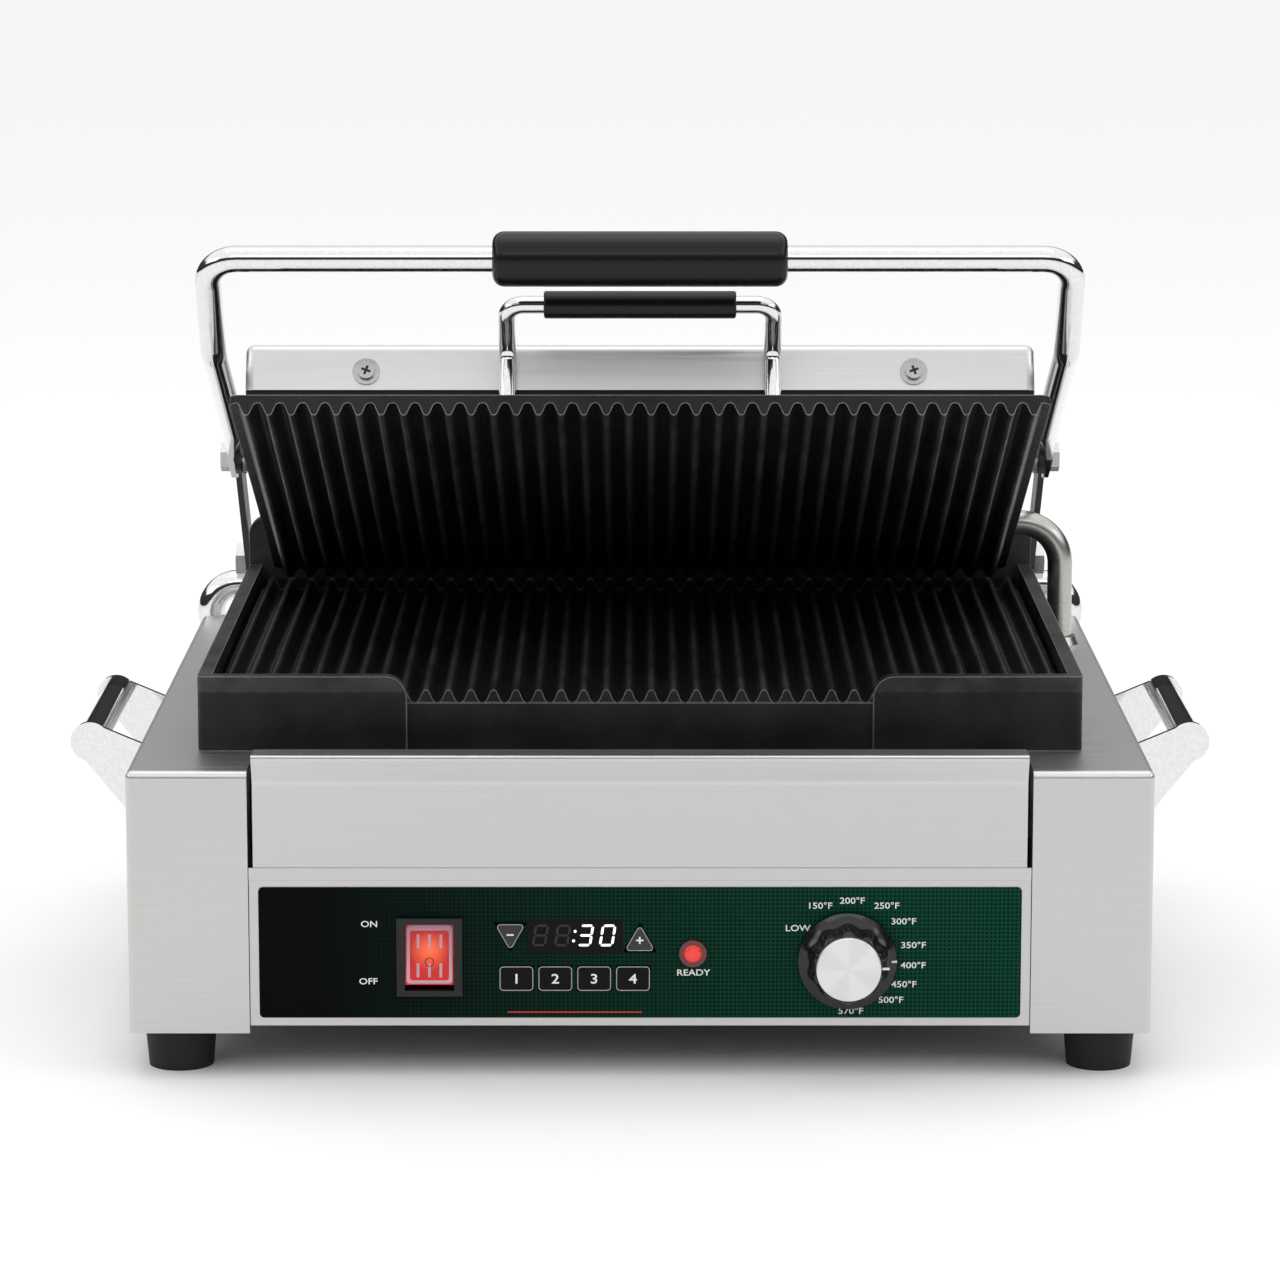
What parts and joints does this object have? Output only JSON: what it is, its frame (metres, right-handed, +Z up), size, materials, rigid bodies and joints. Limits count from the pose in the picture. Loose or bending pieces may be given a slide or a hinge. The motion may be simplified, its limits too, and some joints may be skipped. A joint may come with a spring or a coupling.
{
  "type": "panini grill",
  "caption": "Countertop electric panini grill with ribbed cast plates, raised lid on arms, drip tray and timer panel.",
  "frame": {"origin": "on the floor, at the middle of the whole machine's bounding box", "axes": "+Z up, +X to the user's right, +Y to the back; the controls face -Y"},
  "size_m": [0.515, 0.425, 0.3619],
  "materials": {
    "brushed_stainless": "brushed",
    "satin_steel": "satin",
    "zinc_steel": "satin",
    "chrome": "polished",
    "dark_steel": "satin",
    "cast_iron": "seasoned",
    "black_rubber": "matte",
    "gasket": "matte",
    "overlay": "satin",
    "black_plastic": "satin",
    "black_grip": "gloss",
    "key_face": "satin",
    "knob_black": "satin",
    "knob_silver": "spun",
    "switch_red": "clear over red",
    "lamp_red": "gloss",
    "dark_window": "gloss",
    "circuit_board": "satin",
    "insulation": "matte",
    "bronze": "satin"
  },
  "bodies": {
    "base": {"housing": "brushed_stainless", "rear_panel": "brushed_stainless", "bottom_plate": "satin_steel", "front_left_foot": "black_rubber", "front_right_foot": "black_rubber", "rear_left_foot": "black_rubber", "rear_right_foot": "black_rubber", "foot_screws": "zinc_steel", "control_panel": "brushed_stainless", "panel_overlay": "overlay", "tray_shelf": "brushed_stainless", "lower_plate": "cast_iron", "lower_element": "dark_steel", "clamp_plate": "satin_steel", "thermostat_body": "satin_steel", "switch_housing": "black_plastic", "timer_board": "circuit_board", "display_window": "dark_window", "lamp_bezel": "lamp_red", "lamp_lens": "lamp_red", "hinge_towers": "satin_steel", "hinge_bushes": "bronze", "counter_springs": "zinc_steel", "guard_tube": "dark_steel", "guard_flanges": "satin_steel", "handle_brackets": "chrome", "right_handle_bar": "chrome", "left_handle_bar": "chrome", "cord_gland": "black_plastic", "rear_screws": "zinc_steel", "conduit_ferrule": "chrome"},
    "tray": {"drip_tray": "brushed_stainless"},
    "arms": {"right_arm": "dark_steel", "left_arm": "dark_steel", "hinge_shaft": "zinc_steel", "shaft_nuts": "zinc_steel", "pivot_bolts": "zinc_steel", "pivot_spacers": "zinc_steel", "pivot_nuts": "chrome", "lift_tube": "chrome", "lift_grip": "black_grip"},
    "top_plate": {"upper_plate": "cast_iron", "upper_cover": "brushed_stainless", "cover_screws": "zinc_steel", "cover_gasket": "gasket", "upper_element": "dark_steel", "upper_insulation": "insulation", "pivot_blocks": "satin_steel", "plate_handle": "chrome", "plate_grip": "black_grip"},
    "conduit_body": {"conduit": "satin_steel"},
    "knob_body": {"knob": "knob_black", "knob_cap": "knob_silver"},
    "rocker": {"power_rocker": "switch_red"},
    "key_minus_body": {"key_minus": "key_face"},
    "key_plus_body": {"key_plus": "key_face"},
    "key_1_body": {"key_1": "key_face"},
    "key_2_body": {"key_2": "key_face"},
    "key_3_body": {"key_3": "key_face"},
    "key_4_body": {"key_4": "key_face"}
  },
  "joints": [
    {"name": "arm_lift", "type": "hinge", "parent": "base", "child": "arms", "pos_m": [0, 0.1735, 0.165], "axis": [-1, 0, 0], "range_deg": [-19.2, 22]},
    {"name": "plate_level", "type": "hinge", "parent": "arms", "child": "top_plate", "pos_m": [0, 0.01429, 0.24049], "axis": [-1, 0, 0], "range_deg": [-5.4, 6.2]},
    {"name": "conduit_slide", "type": "slide", "parent": "base", "child": "conduit_body", "axis": [0, 0, 1], "range_m": [-0.0171, 0.0196]},
    {"name": "tray_slide", "type": "slide", "parent": "base", "child": "tray", "axis": [0, -1, 0], "range_m": [0, 0.085]},
    {"name": "thermostat_turn", "type": "hinge", "parent": "base", "child": "knob_body", "pos_m": [0.089, -0.2, 0.0525], "axis": [0, 1, 0], "range_deg": [-149, 87]},
    {"name": "power_switch", "type": "hinge", "parent": "base", "child": "rocker", "pos_m": [-0.0904, -0.1895, 0.054], "axis": [1, 0, 0], "range_deg": [0, 22]},
    {"name": "key_minus_press", "type": "slide", "parent": "base", "child": "key_minus_body", "axis": [0, 1, 0], "range_m": [0, 0.0005], "stiffness_N_per_m": 400},
    {"name": "key_plus_press", "type": "slide", "parent": "base", "child": "key_plus_body", "axis": [0, 1, 0], "range_m": [0, 0.0005], "stiffness_N_per_m": 400},
    {"name": "key_1_press", "type": "slide", "parent": "base", "child": "key_1_body", "axis": [0, 1, 0], "range_m": [0, 0.0005], "stiffness_N_per_m": 400},
    {"name": "key_2_press", "type": "slide", "parent": "base", "child": "key_2_body", "axis": [0, 1, 0], "range_m": [0, 0.0005], "stiffness_N_per_m": 400},
    {"name": "key_3_press", "type": "slide", "parent": "base", "child": "key_3_body", "axis": [0, 1, 0], "range_m": [0, 0.0005], "stiffness_N_per_m": 400},
    {"name": "key_4_press", "type": "slide", "parent": "base", "child": "key_4_body", "axis": [0, 1, 0], "range_m": [0, 0.0005], "stiffness_N_per_m": 400}
  ],
  "couplings": [
    {"joint": "plate_level", "follows": "arm_lift", "ratio": 0.276},
    {"joint": "conduit_slide", "follows": "arm_lift", "m_per_rad": 0.0505}
  ]
}
